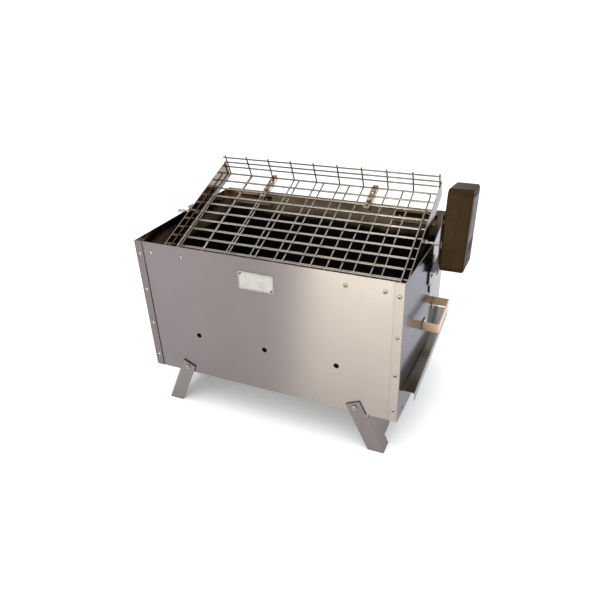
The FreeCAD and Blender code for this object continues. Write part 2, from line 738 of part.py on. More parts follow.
def bracket_screws():
    screw = pan_screw(3.2, 2.0, 1.5, 12.0)
    nut = hex_prism(3.2, 2.4).cut(Part.makeCylinder(1.55, 2.4))
    head_x = HALF_LENGTH + size.right_crease + 0.2 + size.bracket_gauge + 0.02
    nut_x = HALF_LENGTH - GAUGE - 3.0
    screws = []
    nuts = []
    for y, z in BRACKET_SCREWS:
        screws.append(turned(screw, Vector(head_x, y, z), Vector(1, 0, 0)))
        nuts.append(turned(nut, Vector(nut_x + crease_at(1, y), y, z), Vector(1, 0, 0)))
    shape_feature("bracket_screws", screws)
    return shape_feature("bracket_nuts", nuts)


def spit_keeper():
    """A small bent tab beside the left notch that stops the spit rolling out."""
    gauge = GAUGE
    point, normal = end_face(-1, KEEPER_RIVET[0], KEEPER_RIVET[1])
    across = Vector(0, 0, 1).cross(normal)
    base = point + normal * (gauge / 2 + 0.03)
    rise = 16.0
    path = [(-8.0, 0.0), (rise, 0.0), (rise + 4.5, 4.5)]
    outline = folded_strip(path, gauge)
    half = 9.0
    points = [base + Vector(0, 0, 1) * up + normal * out - across * half for up, out in outline]
    tab = prism(points, across * (2 * half))
    hole = Part.makeCylinder(size.rivet_hole_radius, 10.0, point - normal * 5.0, normal)
    tab = tab.cut(hole)
    shape_feature("spit_keeper", [tab])
    rivet = blind_rivet(head_radius=3.2, grip=2 * GAUGE + 0.3)
    return shape_feature("keeper_rivet", [turned(rivet, point + normal * (gauge + 0.06), normal)])


# ---------------------------------------------------------------- folding legs

def leg_frame(label, side):
    """A front and a back strip joined by a sloping web, cut out below between its feet."""
    splay = math.radians(size.leg_splay)
    drop = size.ground_clearance + size.leg_bolt_height
    half = size.leg_width / 2

    def ground(x):
        return -(drop + x * math.sin(splay)) / math.cos(splay)

    strip_y = HALF_DEPTH + GAUGE + LEG_GAP
    outer_y = strip_y + size.leg_gauge
    web_top = -(size.leg_bolt_height + 1.0 + half * math.sin(splay)) / math.cos(splay)
    web_foot = ground(half - size.leg_gauge)
    body = new_body(label)
    for plane_y in (strip_y, -outer_y):
        strip = new_sketch(body, "XZ_Plane", plane_y)
        add_outline(strip, [(-half, size.leg_above_bolt), (half, size.leg_above_bolt), (half, ground(half)),
                            (-half, ground(-half))])
        first_strip = body.Tip is None
        pad(body, strip, "leg_gauge")
        if first_strip:
            web = new_sketch(body, "YZ_Plane", half - size.leg_gauge)
            foot_y = outer_y - size.foot_length
            notch_y = strip_y - 10.0
            cut = web_foot + size.foot_height
            add_outline(web, [(-outer_y, web_foot), (-foot_y, web_foot), (-foot_y, cut), (foot_y, cut),
                              (foot_y, web_foot), (outer_y, web_foot), (outer_y, web_top - 8.0),
                              (notch_y, web_top - 8.0), (notch_y, web_top), (-notch_y, web_top),
                              (-notch_y, web_top - 8.0), (-outer_y, web_top - 8.0)])
            pad(body, web, "leg_gauge")
    folds = [edge for edge in body.Shape.Edges if upright_at(half, outer_y)(edge)]
    longest = max(folds, key=lambda edge: edge.Length).Length
    fillet(body, lambda edge: upright_at(half, outer_y)(edge) and edge.Length > longest * 0.6, "fold_radius")
    holes = new_sketch(body, "XZ_Plane")
    add_circles(holes, [(0, 0)], size.leg_hole_radius, "leg_hole_radius")
    pocket(body, holes)
    rotation = Rotation(Vector(0, 1, 0), -size.leg_splay)
    if side < 0:
        rotation = Rotation(Vector(0, 0, 1), 180).multiply(rotation)
    return keep(body, label, Vector(side * size.leg_bolt_x, 0, size.leg_bolt_height), rotation)


def leg_fasteners():
    """A pan-head bolt and a nut at each of the four leg pivots."""
    strip_out = HALF_DEPTH + GAUGE + LEG_GAP + size.leg_gauge + LEG_GAP
    wall_in = HALF_DEPTH - GAUGE
    thread_beyond_wall = 8.0
    nut_height = 4.5
    bore = size.bolt_radius + 0.1
    bolt = pan_screw(4.4, 2.0, size.bolt_radius, strip_out - wall_in + thread_beyond_wall)
    spacer = Part.makeCylinder(2 * size.bolt_radius, GAUGE).cut(Part.makeCylinder(bore, GAUGE))
    nut = hex_prism(5.8, nut_height).cut(Part.makeCylinder(bore, nut_height))
    bolts = []
    nuts = []
    spacers = []
    for side in (-1, 1):
        for wall in (-1, 1):
            axis = Vector(0, wall, 0)
            x = side * size.leg_bolt_x
            z = size.leg_bolt_height
            bolts.append(turned(bolt, Vector(x, wall * strip_out, z), axis))
            spacers.append(turned(spacer, Vector(x, wall * (HALF_DEPTH + HAIR_GAP), z), axis))
            nuts.append(turned(nut, Vector(x, wall * (wall_in - nut_height - HAIR_GAP), z), axis))
    shape_feature("leg_bolts", bolts)
    shape_feature("leg_spacers", spacers)
    return shape_feature("leg_nuts", nuts)


# ---------------------------------------------------------------- charcoal tray

def charcoal_tray():
    """The flat of the tray, between its two turned edges."""
    body = new_body("charcoal_tray")
    outline = new_sketch(body, "XZ_Plane")
    left = TRAY_LEFT_X + GAUGE / 2
    add_rectangle(outline, left, size.tray_height, TRAY_RIGHT_X - GAUGE / 2 - left, GAUGE)
    pad(body, outline, "tray_width", symmetric=True)
    return keep(body, "charcoal_tray")


def tray_edges():
    """The stop turned up at the inner end of the tray and the lip turned down at its outer end."""
    middle = size.tray_height + GAUGE / 2
    top = size.tray_height + GAUGE
    width = size.tray_width
    stop = Part.makeBox(GAUGE, width, size.tray_stop + GAUGE / 2,
                        Vector(TRAY_LEFT_X - GAUGE / 2, -width / 2, size.tray_height))
    low = middle - size.tray_lip
    lip = Part.makeBox(GAUGE, width, top - low, Vector(TRAY_RIGHT_X - GAUGE / 2, -width / 2, low))
    lip_x = TRAY_RIGHT_X + GAUGE / 2

    def outer_top(edge):
        box = edge.BoundBox
        return abs(box.XMin - lip_x) < 0.01 and abs(box.ZMin - top) < 0.01 and box.ZLength < 0.01

    lip = lip.makeFillet(size.fold_radius, [edge for edge in lip.Edges if outer_top(edge)])
    return shape_feature("tray_edges", [stop, lip])


# ---------------------------------------------------------------- basket and lid, in the basket's own frame
# X lies along the spit, V across the tray towards the back, W up from the tray wires.

BASKET_PLACE = Vector(0, 0, size.spit_height)
BASKET_TURN = Rotation(Vector(1, 0, 0), size.basket_tilt)


def in_basket(x, v, w):
    return Vector(x, v, w - size.basket_drop)


def basket_plate(label, x):
    body = new_body(label)
    half = -HINGE_V + WIRE_STEP + size.wire_radius
    outline = new_sketch(body, "YZ_Plane", x)
    bottom = -size.basket_drop - WIRE_STEP - size.wire_radius
    add_rectangle(outline, -half, bottom, 2 * half, 33.0)
    pad(body, outline, "basket_plate_gauge")
    hole = new_sketch(body, "YZ_Plane")
    add_circles(hole, [(0, 0)], size.stub_hole_radius, "stub_hole_radius")
    pocket(body, hole)
    return keep(body, label, BASKET_PLACE, BASKET_TURN)


def basket_wires():
    spans = []
    for i in range(LONG_WIRES):
        v = -HINGE_V - i * size.mesh_pitch_cross
        spans.append((in_basket(LEFT_PLATE_X, v, 0), in_basket(RIGHT_PLATE_X, v, 0)))
    cylinder_group("basket_floor_wires", spans, "wire_radius", BASKET_PLACE, BASKET_TURN)
    for label, v in (("basket_front_wires", HINGE_V), ("basket_back_wires", -HINGE_V)):
        spans = [(in_basket(LEFT_PLATE_X, v, w), in_basket(RIGHT_PLATE_X, v, w)) for w in WALL_WIRES]
        cylinder_group(label, spans, "wire_radius", BASKET_PLACE, BASKET_TURN)
    hoops = []
    side_v = -HINGE_V + WIRE_STEP
    for i in range(CROSS_WIRES):
        x = FIRST_CROSS_WIRE_X + i * size.mesh_pitch_long
        points = [in_basket(x, -side_v, FRONT_WALL_TOPS[i]), in_basket(x, -side_v, -WIRE_STEP),
                  in_basket(x, side_v, -WIRE_STEP), in_basket(x, side_v, BACK_WALL_TOP)]
        path = bent_path(points, WIRE_STEP)
        hoops.append(round_pipe(path, points[0], Vector(0, 0, 1), size.wire_radius))
    return shape_feature("basket_cross_wires", hoops, BASKET_PLACE, BASKET_TURN)


def spit_stubs():
    """The left stub, which ends in a flat finger loop, and the right stub, squared off for the motor."""
    inner_end = -219.9
    rod_length = 35.5
    loop_middle = -262.3
    loop_half_length = 8.0
    loop_half_width = 4.6
    rod = Part.makeCylinder(size.spit_radius, rod_length, Vector(inner_end, 0, 0), Vector(-1, 0, 0))
    right = loop_middle + loop_half_length
    left = loop_middle - loop_half_length
    corners = [Vector(loop_middle, -loop_half_width, 0), Vector(right, -loop_half_width, 0),
               Vector(right, loop_half_width, 0), Vector(left, loop_half_width, 0),
               Vector(left, -loop_half_width, 0), Vector(loop_middle, -loop_half_width, 0)]
    path = bent_path(corners, loop_half_width - 0.1)
    loop = round_pipe(path, corners[0], Vector(1, 0, 0), size.wire_radius)
    shape_feature("left_spit_stub", [rod.fuse(loop).removeSplitter()], BASKET_PLACE)
    start_x = 235.1
    square_x = 262.0
    end_x = 284.0
    side = 4.8
    shaft = Part.makeCylinder(size.spit_radius, square_x - start_x, Vector(start_x, 0, 0), Vector(1, 0, 0))
    flats = Part.makeBox(end_x - square_x, side, side, Vector(square_x, -side / 2, -side / 2))
    tip = Part.makeCylinder(size.spit_radius, end_x - square_x, Vector(square_x, 0, 0), Vector(1, 0, 0))
    shape_feature("right_spit_stub", [shaft.fuse(flats.common(tip)).removeSplitter()], BASKET_PLACE)
    clear = size.spit_radius + 0.06
    thin = hex_prism(5.4, 2.9).cut(Part.makeCylinder(clear, 2.9))
    thick = hex_prism(5.4, 4.5).cut(Part.makeCylinder(clear, 4.5))
    gauge = size.basket_plate_gauge
    nuts = [turned(thin, Vector(LEFT_PLATE_X + 0.02, 0, 0), Vector(1, 0, 0)),
            turned(thick, Vector(LEFT_PLATE_X - gauge - 0.02, 0, 0), Vector(-1, 0, 0)),
            turned(thin, Vector(RIGHT_PLATE_X - 0.02, 0, 0), Vector(-1, 0, 0)),
            turned(thick, Vector(RIGHT_PLATE_X + gauge + 0.02, 0, 0), Vector(1, 0, 0))]
    return shape_feature("spit_nuts", nuts, BASKET_PLACE, BASKET_TURN)


def lid_wire_x(number):
    return LID_LEFT_X + number * (LID_RIGHT_X - LID_LEFT_X) / (LID_CROSS_WIRES - 1)


def lid():
    """The mesh that holds the food down: a bent frame, wires along it and wires across it, three of which
    curl round the front wire of the basket as hinges."""
    front_v = LID_BACK_V - (LID_LONG_WIRES - 1) * size.mesh_pitch_cross
    middle_x = (LID_LEFT_X + LID_RIGHT_X) / 2
    corners = [(middle_x, front_v), (LID_RIGHT_X, front_v), (LID_RIGHT_X, LID_BACK_V),
               (LID_LEFT_X, LID_BACK_V), (LID_LEFT_X, front_v), (middle_x, front_v)]
    points = [in_basket(x, v, LID_LONG_W) for x, v in corners]
    path = bent_path(points, 7.0)
    frame = round_pipe(path, points[0], Vector(1, 0, 0), size.wire_radius)
    shape_feature("lid_frame", [frame], BASKET_PLACE, BASKET_TURN)

    inset = size.wire_radius + 0.03
    spans = []
    for i in range(1, LID_LONG_WIRES - 1):
        v = LID_BACK_V - i * size.mesh_pitch_cross
        start = in_basket(LID_LEFT_X + inset, v, LID_LONG_W)
        spans.append((start, in_basket(LID_RIGHT_X - inset, v, LID_LONG_W)))
    cylinder_group("lid_long_wires", spans, "wire_radius", BASKET_PLACE, BASKET_TURN)

    spans = []
    for i in range(1, LID_CROSS_WIRES - 1):
        if i not in LID_HINGE_WIRES:
            x = lid_wire_x(i)
            start = in_basket(x, front_v - 2.5, LID_CROSS_W)
            spans.append((start, in_basket(x, LID_BACK_V + 2.0, LID_CROSS_W)))
    cylinder_group("lid_cross_wires", spans, "wire_radius", BASKET_PLACE, BASKET_TURN)

    curls = []
    for i in LID_HINGE_WIRES:
        x = lid_wire_x(i)
        back = in_basket(x, LID_BACK_V + 2.0, LID_CROSS_W)
        top = in_basket(x, HINGE_V, LID_CROSS_W)
        centre = in_basket(x, HINGE_V, 0)

        def on_curl(degrees):
            angle = math.radians(degrees)
            return centre + Vector(0, -math.sin(angle), math.cos(angle)) * LID_CROSS_W

        path = [Part.makeLine(back, top), Part.Arc(top, on_curl(145), on_curl(290)).toShape()]
        curls.append(round_pipe(path, back, Vector(0, 1, 0), size.wire_radius))
    return shape_feature("lid_hinge_wires", curls, BASKET_PLACE, BASKET_TURN)


def latch(label, x):
    """A perforated channel that slides along the lid on three of its wires, until its tongue passes through
    the back wall of the basket."""
    gauge = size.latch_gauge
    top = LID_LONG_W + size.wire_radius + 0.6 + gauge
    foot = 2.4
    drop = size.basket_drop
    profile = [(-5.5, foot - drop), (-5.5, top - gauge / 2 - drop), (5.5, top - gauge / 2 - drop),
               (5.5, foot - drop)]
    body = new_body(label)
    channel = new_sketch(body, "XZ_Plane", -LATCH_FRONT_V)
    add_outline(channel, folded_strip(profile, gauge))
    pad(body, channel, "latch_length", reverse=True)
    tongue = new_sketch(body, "XZ_Plane", -LATCH_FRONT_V - size.latch_length + 1.0)
    add_rectangle(tongue, -4.0, top - gauge - drop, 8.0, gauge, height_cell="latch_gauge")
    pad(body, tongue, length=2.7, reverse=True)
    slots = new_sketch(body, "YZ_Plane")
    room = 0.45
    wire = size.wire_radius
    for i in range(3):
        v = LID_BACK_V - i * size.mesh_pitch_cross
        length = 2 * wire + LATCH_TRAVEL + 2 * room
        if i == 0:
            length = length + 6.0
        add_rectangle(slots, v - wire - LATCH_TRAVEL - room, LID_LONG_W - wire - room - drop, length,
                      2 * (wire + room))
    pocket(body, slots)
    holes = new_sketch(body, "XY_Plane")
    add_circles(holes, [(0, v) for v in (74.0, 100.0, 113.0, 126.0)], 2.6)
    pocket(body, holes)
    knob_hole = new_sketch(body, "XY_Plane")
    add_circles(knob_hole, [(0, 87.0)], 1.7)
    pocket(body, knob_hole)
    keep(body, label, BASKET_PLACE + Vector(x, 0, 0), BASKET_TURN)

    knob = Part.makeCylinder(3.4, 6.0, Vector(0, 0, 0))
    rim = [edge for edge in knob.Edges if abs(edge.BoundBox.ZMin - 6.0) < 0.001]
    knob = knob.makeFillet(1.6, rim)
    neck = Part.makeCylinder(1.6, 2.4, Vector(0, 0, -2.4))
    washer = Part.makeCylinder(2.6, 0.8, Vector(0, 0, -gauge - 0.05 - 0.8))
    knob = knob.fuse([neck, washer]).removeSplitter()
    knob.translate(Vector(0, 87.0, top - drop + 0.02))
    return shape_feature(label + "_knob", [knob], BASKET_PLACE + Vector(x, 0, 0), BASKET_TURN)


# ---------------------------------------------------------------- motor, in the housing's own frame

MOTOR_PLACE = Vector(MOTOR_X, MOTOR_MIDDLE[0], MOTOR_MIDDLE[1])
MOTOR_TURN = Rotation(Vector(1, 0, 0), -size.motor_tilt)
SEAM = size.shell_depth + 0.15
HOUSING_DEPTH = 2 * SEAM


def to_housing(y, z):
    """Firebox Y and Z turned into the housing's own Y and Z."""
    local = MOTOR_TURN.inverted().multVec(Vector(0, y - MOTOR_MIDDLE[0], z - MOTOR_MIDDLE[1]))
    return local.y, local.z


DRIVE_CENTRE = to_housing(0.0, size.spit_height)
CENTRE_DISTANCE = size.gear_module * (GEAR_TEETH + PINION_TEETH) / 2 + GEAR_BACKLASH
IDLER_DIRECTION = 80.0
PINION_DIRECTION = 85.0


def step_from(centre, degrees):
    angle = math.radians(degrees)
    return (centre[0] + CENTRE_DISTANCE * math.cos(angle), centre[1] + CENTRE_DISTANCE * math.sin(angle))


IDLER_CENTRE = step_from(DRIVE_CENTRE, IDLER_DIRECTION)
PINION_CENTRE = step_from(IDLER_CENTRE, PINION_DIRECTION)


def shell_blank(label, plane_x, reverse):
    """Half a housing: a rounded block, its outer face's edge rounded, hollowed from the seam."""
    body = new_body(label)
    outline = new_sketch(body, "YZ_Plane", plane_x)
    add_round_rectangle(outline, 0, 0, size.motor_width, size.motor_height, size.shell_corner)
    pad(body, outline, "shell_depth", reverse=reverse)
    outer_x = plane_x - size.shell_depth if reverse else plane_x + size.shell_depth

    def on_outer_face(edge):
        box = edge.BoundBox
        return abs(box.XMin - outer_x) < 0.001 and abs(box.XMax - outer_x) < 0.001

    fillet(body, on_outer_face, "shell_edge")
    cavity = new_sketch(body, "YZ_Plane", plane_x)
    wall = size.shell_wall
    add_round_rectangle(cavity, 0, 0, size.motor_width - 2 * wall, size.motor_height - 2 * wall,
                        size.shell_corner - wall)
    pocket(body, cavity, cell="cavity_depth", reverse=not reverse)
    posts = new_sketch(body, "YZ_Plane", plane_x)
    add_circles(posts, HOUSING_SCREWS, 4.0)
    pad(body, posts, length=size.shell_depth - 1.0, reverse=reverse)
    return body


def motor_shells():
    inner = shell_blank("motor_inner_shell", size.shell_depth, True)
    bore = new_sketch(inner, "YZ_Plane")
    add_circles(bore, [DRIVE_CENTRE], 8.0)
    pocket(inner, bore)
    pilot = new_sketch(inner, "YZ_Plane", size.shell_depth)
    add_circles(pilot, HOUSING_SCREWS, 1.6)
    pocket(inner, pilot, length=14.0)
    keep(inner, "motor_inner_shell", MOTOR_PLACE, MOTOR_TURN)

    outer = shell_blank("motor_outer_shell", SEAM + 0.15, False)
    face_x = SEAM + 0.15 + size.shell_depth
    recess = new_sketch(outer, "YZ_Plane", face_x)
    add_round_rectangle(recess, LABEL[0], LABEL[1], LABEL[2], LABEL[3], 4.0)
    pocket(outer, recess, cell="label_recess")
    screw_wells = new_sketch(outer, "YZ_Plane", face_x)
    add_circles(screw_wells, HOUSING_SCREWS, 3.4)
    pocket(outer, screw_wells, length=2.6)
    screw_holes = new_sketch(outer, "YZ_Plane")
    add_circles(screw_holes, HOUSING_SCREWS, 1.7)
    pocket(outer, screw_holes)
    window = new_sketch(outer, "YZ_Plane")
    add_rectangle(window, SWITCH[0] - 6.0, SWITCH[1] - 3.0, 12.0, 6.0)
    pocket(outer, window)
    keep(outer, "motor_outer_shell", MOTOR_PLACE, MOTOR_TURN)
    return face_x


def label_panel(face_x):
    body = new_body("label_panel")
    outline = new_sketch(body, "YZ_Plane", face_x - size.label_recess + 0.02)
    add_round_rectangle(outline, LABEL[0], LABEL[1], LABEL[2] - 0.8, LABEL[3] - 0.8, 3.6)
    pad(body, outline, "label_gauge")
    return keep(body, "label_panel", MOTOR_PLACE, MOTOR_TURN)


def housing_screws(face_x):
    screw = pan_screw(3.0, 1.9, 1.5, 28.5)
    seat = face_x - 2.58
    solids = [turned(screw, Vector(seat, y, z), Vector(1, 0, 0)) for y, z in HOUSING_SCREWS]
    return shape_feature("housing_screws", solids, MOTOR_PLACE, MOTOR_TURN)


def mounting_plate():
    """The steel plate between bracket and housing: the bracket's tongue enters its slot, and four spacers
    hold the housing off it."""
    body = new_body("motor_mounting_plate")
    outline = new_sketch(body, "YZ_Plane", MOTOR_X - MOUNT_STANDOFF)
    left, bottom, width, height = MOUNT_BOX
    add_rectangle(outline, left, bottom, width, height)
    pad(body, outline, "mount_gauge")
    bore = new_sketch(body, "YZ_Plane")
    add_circles(bore, [(0, size.spit_height)], 8.5)
    pocket(body, bore)
    slot = new_sketch(body, "YZ_Plane")
    tongue_low = BRACKET_MIDDLE_Y - 8.0
    add_rectangle(slot, tongue_low - 0.6, BRACKET_SHELF_HEIGHT - 1.4, 25.2, 2.8)
    pocket(body, slot)
    keep(body, "motor_mounting_plate")
    gap_start = MOTOR_X - MOUNT_STANDOFF + size.mount_gauge + HAIR_GAP
    spans = [(Vector(gap_start, y, z), Vector(MOTOR_X - HAIR_GAP, y, z)) for y, z in SPACERS]
    return cylinder_group("mount_spacers", spans, "spacer_radius")


def gear_disc(teeth, height, tooth_angle):
    """A spur gear along +X from X = 0, with a tooth centred on an angle in the YZ plane."""
    outline = fcgear.FCWireBuilder()
    involute.CreateExternalGear(outline, size.gear_module, teeth, 20.0, True)
    wire = Part.Wire([curve.toShape() for curve in outline.wire])
    farthest = max(wire.Vertexes, key=lambda vertex: math.hypot(vertex.X, vertex.Y))
    reach = math.hypot(farthest.X, farthest.Y)
    pitch = 360.0 / teeth
    tips = []
    for vertex in wire.Vertexes:
        if math.hypot(vertex.X, vertex.Y) > reach - 0.01:
            tips.append(math.degrees(math.atan2(vertex.Y, vertex.X)) % pitch)
    first_tooth = tooth_middle(tips, pitch)
    disc = Part.Face(wire).extrude(Vector(0, 0, height))
    disc.rotate(Vector(), Vector(0, 0, 1), tooth_angle - first_tooth)
    disc.Placement = Placement(Vector(), Rotation(Vector(1, 1, 1), 120)).multiply(disc.Placement)
    return disc


def tooth_middle(tips, pitch):
    """The middle of the tooth tips, folded onto one pitch."""
    sine = sum(math.sin(2 * math.pi * tip / pitch) for tip in tips)
    cosine = sum(math.cos(2 * math.pi * tip / pitch) for tip in tips)
    return math.degrees(math.atan2(sine, cosine)) * pitch / 360.0


def gear_train():
    """Motor pinion to idler gear, idler pinion to drive gear, whose square socket turns the spit."""
    half_gap = 180.0 / PINION_TEETH
    hub_radius = 6.0
    drive = gear_disc(GEAR_TEETH, 5.0, IDLER_DIRECTION)
    drive.translate(Vector(9.0, 0, 0))
    hub = Part.makeCylinder(hub_radius, 19.5, Vector(-5.5, 0, 0), Vector(1, 0, 0))
    side = 5.2
    socket = Part.makeBox(22.0, side, side, Vector(-6.5, -side / 2, -side / 2))
    socket.rotate(Vector(), Vector(1, 0, 0), size.motor_tilt)
    drive = drive.fuse(hub).cut(socket).removeSplitter()
    drive.translate(Vector(0, DRIVE_CENTRE[0], DRIVE_CENTRE[1]))
    shape_feature("drive_gear", [drive], MOTOR_PLACE, MOTOR_TURN)

    bush = Part.makeCylinder(7.9, 4.0, Vector(-0.5, 0, 0), Vector(1, 0, 0))
    bush = bush.cut(Part.makeCylinder(hub_radius + 0.06, 4.0, Vector(-0.5, 0, 0), Vector(1, 0, 0)))
    bush.translate(Vector(0, DRIVE_CENTRE[0], DRIVE_CENTRE[1]))
    shape_feature("drive_bush", [bush], MOTOR_PLACE, MOTOR_TURN)

    pinion_end = gear_disc(PINION_TEETH, 5.4, IDLER_DIRECTION + 180.0 + half_gap)
    pinion_end.translate(Vector(8.6, 0, 0))
    wheel = gear_disc(GEAR_TEETH, 4.0, PINION_DIRECTION)
    wheel.translate(Vector(4.6, 0, 0))
    bore = Part.makeCylinder(2.05, 20.0, Vector(0, 0, 0), Vector(1, 0, 0))
    idler = wheel.fuse(pinion_end).cut(bore).removeSplitter()
    idler.translate(Vector(0, IDLER_CENTRE[0], IDLER_CENTRE[1]))
    shape_feature("idler_gear", [idler], MOTOR_PLACE, MOTOR_TURN)

    pin = Part.makeCylinder(2.0, 13.0, Vector(size.shell_wall + 0.1, 0, 0), Vector(1, 0, 0))
    pin.translate(Vector(0, IDLER_CENTRE[0], IDLER_CENTRE[1]))
    shape_feature("idler_pin", [pin], MOTOR_PLACE, MOTOR_TURN)

    pinion = gear_disc(PINION_TEETH, 4.0, PINION_DIRECTION + 180.0 + half_gap)
    pinion.translate(Vector(4.6, 0, 0))
    shaft = Part.makeCylinder(1.5, 8.0, Vector(4.6, 0, 0), Vector(1, 0, 0))
    pinion = pinion.fuse(shaft).removeSplitter()
    pinion.translate(Vector(0, PINION_CENTRE[0], PINION_CENTRE[1]))
    return shape_feature("motor_pinion", [pinion], MOTOR_PLACE, MOTOR_TURN)


def electric_parts(face_x):
    """The small motor, two cells in line with their end contacts, and the switch behind its slider."""
    can = Part.makeCylinder(12.0, 22.0, Vector(10.0, 0, 0), Vector(1, 0, 0))
    can = can.makeFillet(1.5, [edge for edge in can.Edges if edge.BoundBox.XLength < 0.01])
    can = can.cut(Part.makeCylinder(1.56, 4.0, Vector(9.5, 0, 0), Vector(1, 0, 0)))
    can.translate(Vector(0, PINION_CENTRE[0], PINION_CENTRE[1]))
    shape_feature("electric_motor", [can], MOTOR_PLACE, MOTOR_TURN)

    cell = Part.makeCylinder(12.8, 48.0)
    cell = cell.makeFillet(1.2, [edge for edge in cell.Edges if edge.BoundBox.ZLength < 0.01])
    nub = Part.makeCylinder(3.2, 1.2, Vector(0, 0, 48.0))
    cell = cell.fuse(nub).removeSplitter()
    cells = []
    for z in (-50.0, 0.0):
        copy = cell.copy()
        copy.translate(Vector(SEAM, 20.0, z))
        cells.append(copy)
    shape_feature("battery_cells", cells, MOTOR_PLACE, MOTOR_TURN)

    contacts = []
    for z in (-51.0, 49.5):
        contacts.append(Part.makeBox(16.0, 18.0, 0.6, Vector(SEAM - 8.0, 11.0, z)))
    shape_feature("battery_contacts", contacts, MOTOR_PLACE, MOTOR_TURN)

    inside = 2.6
    knob_corner = Vector(face_x - inside, SWITCH[0] - 5.4, SWITCH[1] - 2.3)
    knob = Part.makeBox(inside + SWITCH_STANDOFF, 5.0, 4.6, knob_corner)
    ridge_edges = [edge for edge in knob.Edges if edge.BoundBox.XMin > face_x + SWITCH_STANDOFF - 0.1]
    knob = knob.makeFillet(0.6, ridge_edges)
    shape_feature("switch_knob", [knob], MOTOR_PLACE, MOTOR_TURN)
    block = Part.makeBox(5.0, 16.0, 8.0, Vector(face_x - 8.0, SWITCH[0] - 8.0, SWITCH[1] - 4.0))
    return shape_feature("switch_block", [block], MOTOR_PLACE, MOTOR_TURN)


# ---------------------------------------------------------------- build and export

def overall_middle_x():
    """The middle of the part in X, between the left handle bar and the switch on the motor."""
    far = HANDLE_MIDDLE_Y + size.handle_span / 2
    left = -(HALF_LENGTH + crease_at(-1, far) + size.handle_reach + size.handle_gauge / 2)
    right = MOTOR_X + HOUSING_DEPTH + SWITCH_STANDOFF
    return (left + right) / 2


def build():
    side_panel("front_panel", -HALF_DEPTH + GAUGE, True)
    side_panel("back_panel", HALF_DEPTH, False)
    end_panel("left_end_panel", -1)
    end_panel("right_end_panel", 1)
    floor_panel()
    grate_supports()
    tray_rails()
    corner_rivets()
    support_rivets()
    floor_rivets()
    information_plate()
    plate_rivets()
    handle("left_handle", -1)
    handle("right_handle", 1)
    handle_rivets()
    motor_bracket()
    bracket_screws()
    spit_keeper()
    leg_frame("left_leg_frame", -1)
    leg_frame("right_leg_frame", 1)
    leg_fasteners()
    charcoal_tray()
    tray_edges()
    basket_plate("left_basket_plate", LEFT_PLATE_X - size.basket_plate_gauge)
    basket_plate("right_basket_plate", RIGHT_PLATE_X)
    basket_wires()
    spit_stubs()
    lid()
    latch("left_latch", lid_wire_x(LATCH_CROSS_WIRES[0]))
    latch("right_latch", lid_wire_x(LATCH_CROSS_WIRES[1]))
    face_x = motor_shells()
    label_panel(face_x)
    housing_screws(face_x)
    mounting_plate()
    gear_train()
    electric_parts(face_x)


def check_and_export():
    doc.recompute()
    for item in doc.Objects:
        if "Invalid" in item.State or "Error" in item.State:
            raise RuntimeError("%s did not compute: %s" % (item.Name, item.State))
    os.makedirs("parts", exist_ok=True)
    for item in sub_parts:
        shape = item.Shape
        if shape.isNull() or not shape.isValid() or not shape.Solids:
            raise RuntimeError("%s has no valid solid" % item.Label)
        shape.exportStep(os.path.join("parts", item.Label + ".step"))
    print("%d sub-parts" % len(sub_parts))


ORIGIN_SHIFT = Vector(-overall_middle_x(), 0, size.ground_clearance)
write_sheet()
build()
check_and_export()
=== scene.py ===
"""Looks for the folding charcoal spit roaster: procedural steel, wire, enamel and moulded plastic, the weld
beads on the basket's end plates, and a plain studio. Metres."""

import json
import math

import bmesh
import bpy
from mathutils import Matrix, Vector, noise


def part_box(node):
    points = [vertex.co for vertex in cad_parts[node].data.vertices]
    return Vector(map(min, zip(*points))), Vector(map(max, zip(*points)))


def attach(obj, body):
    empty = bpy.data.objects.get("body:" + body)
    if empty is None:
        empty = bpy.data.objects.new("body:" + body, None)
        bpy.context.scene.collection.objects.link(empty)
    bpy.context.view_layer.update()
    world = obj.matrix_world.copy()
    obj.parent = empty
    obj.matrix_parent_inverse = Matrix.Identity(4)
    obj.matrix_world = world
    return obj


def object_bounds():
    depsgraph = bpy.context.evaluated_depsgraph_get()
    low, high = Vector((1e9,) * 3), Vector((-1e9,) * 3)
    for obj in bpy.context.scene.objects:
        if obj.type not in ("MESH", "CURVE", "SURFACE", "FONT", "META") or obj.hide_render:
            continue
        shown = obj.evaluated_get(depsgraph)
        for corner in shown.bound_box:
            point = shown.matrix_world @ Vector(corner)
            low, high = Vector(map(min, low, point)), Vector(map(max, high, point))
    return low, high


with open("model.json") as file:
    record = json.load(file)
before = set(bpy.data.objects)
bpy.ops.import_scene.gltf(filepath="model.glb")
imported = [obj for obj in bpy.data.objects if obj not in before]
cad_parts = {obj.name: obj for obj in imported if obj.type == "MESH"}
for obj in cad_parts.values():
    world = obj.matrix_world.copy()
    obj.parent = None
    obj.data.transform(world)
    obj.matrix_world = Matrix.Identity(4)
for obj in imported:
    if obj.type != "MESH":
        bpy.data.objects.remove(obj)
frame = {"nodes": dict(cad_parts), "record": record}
cad_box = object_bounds()

NODES = frame["nodes"]
FRONT_LOW, FRONT_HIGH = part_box("front_panel")
BACK_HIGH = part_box("back_panel")[1]
BOX_MIDDLE = Vector(((FRONT_LOW.x + FRONT_HIGH.x) / 2, (FRONT_LOW.y + BACK_HIGH.y) / 2,
                     (FRONT_LOW.z + FRONT_HIGH.z) / 2))
GROUND = cad_box[0][2]
END_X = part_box("right_end_panel")[1].x


OPEN_SKY = 0.93                       # share of the sky that counts as an open surface
UP = (0, 0, 1)

# Grain of a sheet: how many streaks fit in a metre along X, Y and Z.
LENGTHWAYS = (6.0, 500.0, 1400.0)
UPRIGHT = (1400.0, 1400.0, 10.0)
ACROSS = (1400.0, 6.0, 1400.0)

